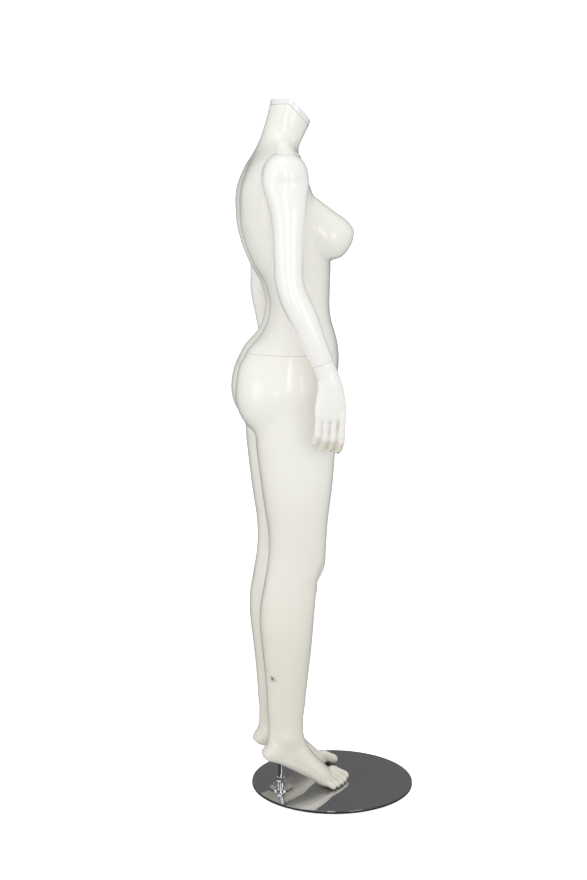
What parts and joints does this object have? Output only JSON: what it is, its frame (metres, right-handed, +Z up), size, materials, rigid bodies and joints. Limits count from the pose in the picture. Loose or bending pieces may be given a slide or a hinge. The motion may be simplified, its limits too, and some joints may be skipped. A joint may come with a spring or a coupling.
{
  "type": "display mannequin",
  "caption": "Headless standing female display mannequin with hollow skins, bayonet-jointed waist, shoulders and wrists, raised heels, and a round steel base with a foot rod.",
  "frame": {"origin": "centre of the base mat's underside, on the floor", "axes": "+Z up, the figure faces -Y and its right side is -X"},
  "size_m": [0.4848, 0.4179, 1.59],
  "materials": {
    "gelcoat": "glossy ivory gelcoat on glass fibre",
    "cap_plastic": "glossy pale lilac",
    "polished_steel": "mirror polished steel",
    "chrome": "bright chrome plate",
    "zinc_steel": "zinc plated steel",
    "rubber": "black non-slip sheet"
  },
  "bodies": {
    "base": {"base_mat": "rubber", "base_disc": "polished_steel", "base_flange": "chrome", "flange_screw_1": "chrome", "flange_screw_2": "chrome", "flange_screw_3": "chrome", "foot_rod": "chrome"},
    "nut": {"lock_nut": "chrome"},
    "legs": {"legs_shell": "gelcoat", "foot_socket": "zinc_steel", "calf_socket": "zinc_steel", "waist_plate_lower": "zinc_steel", "waist_stud": "zinc_steel", "waist_nut": "zinc_steel"},
    "torso": {"torso_shell": "gelcoat", "waist_plate_upper": "zinc_steel", "neck_plate": "zinc_steel", "shoulder_plate_right": "zinc_steel", "shoulder_plate_left": "zinc_steel"},
    "cap": {"neck_cap": "cap_plastic", "neck_peg": "zinc_steel"},
    "arm_right": {"arm_shell_right": "gelcoat", "arm_plate_right": "zinc_steel", "arm_stud_right": "zinc_steel", "arm_nut_right": "zinc_steel", "wrist_plate_right": "zinc_steel"},
    "arm_left": {"arm_shell_left": "gelcoat", "arm_plate_left": "zinc_steel", "arm_stud_left": "zinc_steel", "arm_nut_left": "zinc_steel", "wrist_plate_left": "zinc_steel"},
    "hand_right": {"right_hand": "gelcoat", "wrist_stud_right": "zinc_steel"},
    "hand_left": {"left_hand": "gelcoat", "wrist_stud_left": "zinc_steel"}
  },
  "joints": [
    {"name": "lock_nut_turn", "type": "hinge", "parent": "base", "child": "nut", "pos_m": [-0.031, 0.128, 0.03], "axis": [0, 0, 1], "continuous": true},
    {"name": "figure_lift", "type": "slide", "parent": "base", "child": "legs", "axis": [0, 0, 1], "range_m": [0, 0.15]},
    {"name": "waist_twist", "type": "hinge", "parent": "legs", "child": "torso", "pos_m": [0.025, 0.093, 1.034], "axis": [0, 0, 1], "range_deg": [0, 30]},
    {"name": "neck_cap_lift", "type": "slide", "parent": "torso", "child": "cap", "axis": [0, 0, 1], "range_m": [0, 0.06]},
    {"name": "right_shoulder_turn", "type": "hinge", "parent": "torso", "child": "arm_right", "pos_m": [-0.125, 0.132, 1.41], "axis": [-1, 0, 0], "range_deg": [0, 45]},
    {"name": "left_shoulder_turn", "type": "hinge", "parent": "torso", "child": "arm_left", "pos_m": [0.175, 0.132, 1.41], "axis": [-1, 0, 0], "range_deg": [0, 45]},
    {"name": "right_wrist_turn", "type": "hinge", "parent": "arm_right", "child": "hand_right", "pos_m": [-0.191, 0.0625, 1.0235], "axis": [-0.0473, -0.323, -0.9452], "range_deg": [-60, 0]},
    {"name": "left_wrist_turn", "type": "hinge", "parent": "arm_left", "child": "hand_left", "pos_m": [0.241, 0.10884, 1.01222], "axis": [0.0473, -0.076, -0.996], "range_deg": [0, 60]}
  ]
}
